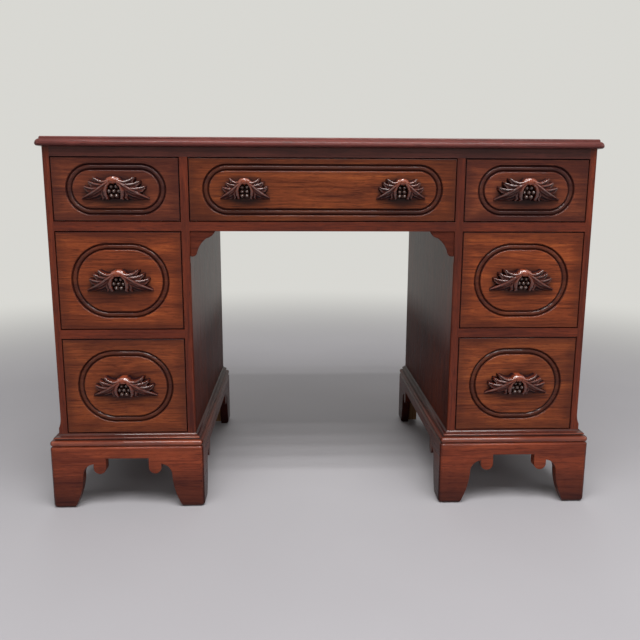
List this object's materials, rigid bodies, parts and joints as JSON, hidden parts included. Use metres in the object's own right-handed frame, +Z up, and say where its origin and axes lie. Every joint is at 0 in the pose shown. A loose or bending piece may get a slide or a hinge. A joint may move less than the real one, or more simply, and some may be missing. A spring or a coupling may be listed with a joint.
{
  "type": "kneehole desk",
  "caption": "Double-pedestal wooden kneehole desk with sliding drawers, sunk oval mouldings, carved leaf pulls and scalloped bracket-foot plinths",
  "frame": {"origin": "floor level under the centre of the overall box", "axes": "+X to the right of a person facing the drawer fronts, +Y from the fronts to the back, +Z up"},
  "size_m": [1.184, 0.616, 0.7955],
  "materials": {
    "carcase_wood": "red-brown lacquer, glossy",
    "top_wood": "red-brown lacquer, glossy",
    "front_wood": "orange-brown lacquer over strong grain, glossy",
    "carved_wood": "dark-glazed carved wood, satin",
    "drawer_wood": "plain pale wood, dull",
    "plain_wood": "plain unpolished wood, dull"
  },
  "bodies": {
    "carcase": {"top_board": "top_wood", "left_outer_side": "carcase_wood", "left_inner_side": "carcase_wood", "right_inner_side": "carcase_wood", "right_outer_side": "carcase_wood", "top_front_rail": "carcase_wood", "drawer_rails": "carcase_wood", "kneehole_rail": "carcase_wood", "corner_brackets": "carcase_wood", "back_boards": "plain_wood", "pedestal_bottoms": "plain_wood", "runners_and_kickers": "plain_wood", "drawer_stops": "plain_wood", "base_mouldings": "carcase_wood", "plinth_fronts": "carcase_wood", "plinth_sides": "carcase_wood", "plinth_backs": "plain_wood", "glue_blocks": "plain_wood"},
    "left_upper_drawer": {"left_upper_drawer_front": "front_wood", "left_upper_drawer_sides": "drawer_wood", "left_upper_drawer_back": "drawer_wood", "left_upper_drawer_bottom": "drawer_wood", "left_upper_drawer_pull": "carved_wood"},
    "left_middle_drawer": {"left_middle_drawer_front": "front_wood", "left_middle_drawer_sides": "drawer_wood", "left_middle_drawer_back": "drawer_wood", "left_middle_drawer_bottom": "drawer_wood", "left_middle_drawer_pull": "carved_wood"},
    "left_lower_drawer": {"left_lower_drawer_front": "front_wood", "left_lower_drawer_sides": "drawer_wood", "left_lower_drawer_back": "drawer_wood", "left_lower_drawer_bottom": "drawer_wood", "left_lower_drawer_pull": "carved_wood"},
    "right_upper_drawer": {"right_upper_drawer_front": "front_wood", "right_upper_drawer_sides": "drawer_wood", "right_upper_drawer_back": "drawer_wood", "right_upper_drawer_bottom": "drawer_wood", "right_upper_drawer_pull": "carved_wood"},
    "right_middle_drawer": {"right_middle_drawer_front": "front_wood", "right_middle_drawer_sides": "drawer_wood", "right_middle_drawer_back": "drawer_wood", "right_middle_drawer_bottom": "drawer_wood", "right_middle_drawer_pull": "carved_wood"},
    "right_lower_drawer": {"right_lower_drawer_front": "front_wood", "right_lower_drawer_sides": "drawer_wood", "right_lower_drawer_back": "drawer_wood", "right_lower_drawer_bottom": "drawer_wood", "right_lower_drawer_pull": "carved_wood"},
    "centre_drawer": {"centre_drawer_front": "front_wood", "centre_drawer_sides": "drawer_wood", "centre_drawer_back": "drawer_wood", "centre_drawer_bottom": "drawer_wood", "centre_drawer_pulls": "carved_wood"}
  },
  "joints": [
    {"name": "left_upper_drawer_slide", "type": "slide", "parent": "carcase", "child": "left_upper_drawer", "axis": [0, -1, 0], "range_m": [0, 0.4]},
    {"name": "left_middle_drawer_slide", "type": "slide", "parent": "carcase", "child": "left_middle_drawer", "axis": [0, -1, 0], "range_m": [0, 0.4]},
    {"name": "left_lower_drawer_slide", "type": "slide", "parent": "carcase", "child": "left_lower_drawer", "axis": [0, -1, 0], "range_m": [0, 0.4]},
    {"name": "right_upper_drawer_slide", "type": "slide", "parent": "carcase", "child": "right_upper_drawer", "axis": [0, -1, 0], "range_m": [0, 0.4]},
    {"name": "right_middle_drawer_slide", "type": "slide", "parent": "carcase", "child": "right_middle_drawer", "axis": [0, -1, 0], "range_m": [0, 0.4]},
    {"name": "right_lower_drawer_slide", "type": "slide", "parent": "carcase", "child": "right_lower_drawer", "axis": [0, -1, 0], "range_m": [0, 0.4]},
    {"name": "centre_drawer_slide", "type": "slide", "parent": "carcase", "child": "centre_drawer", "axis": [0, -1, 0], "range_m": [0, 0.4]}
  ]
}
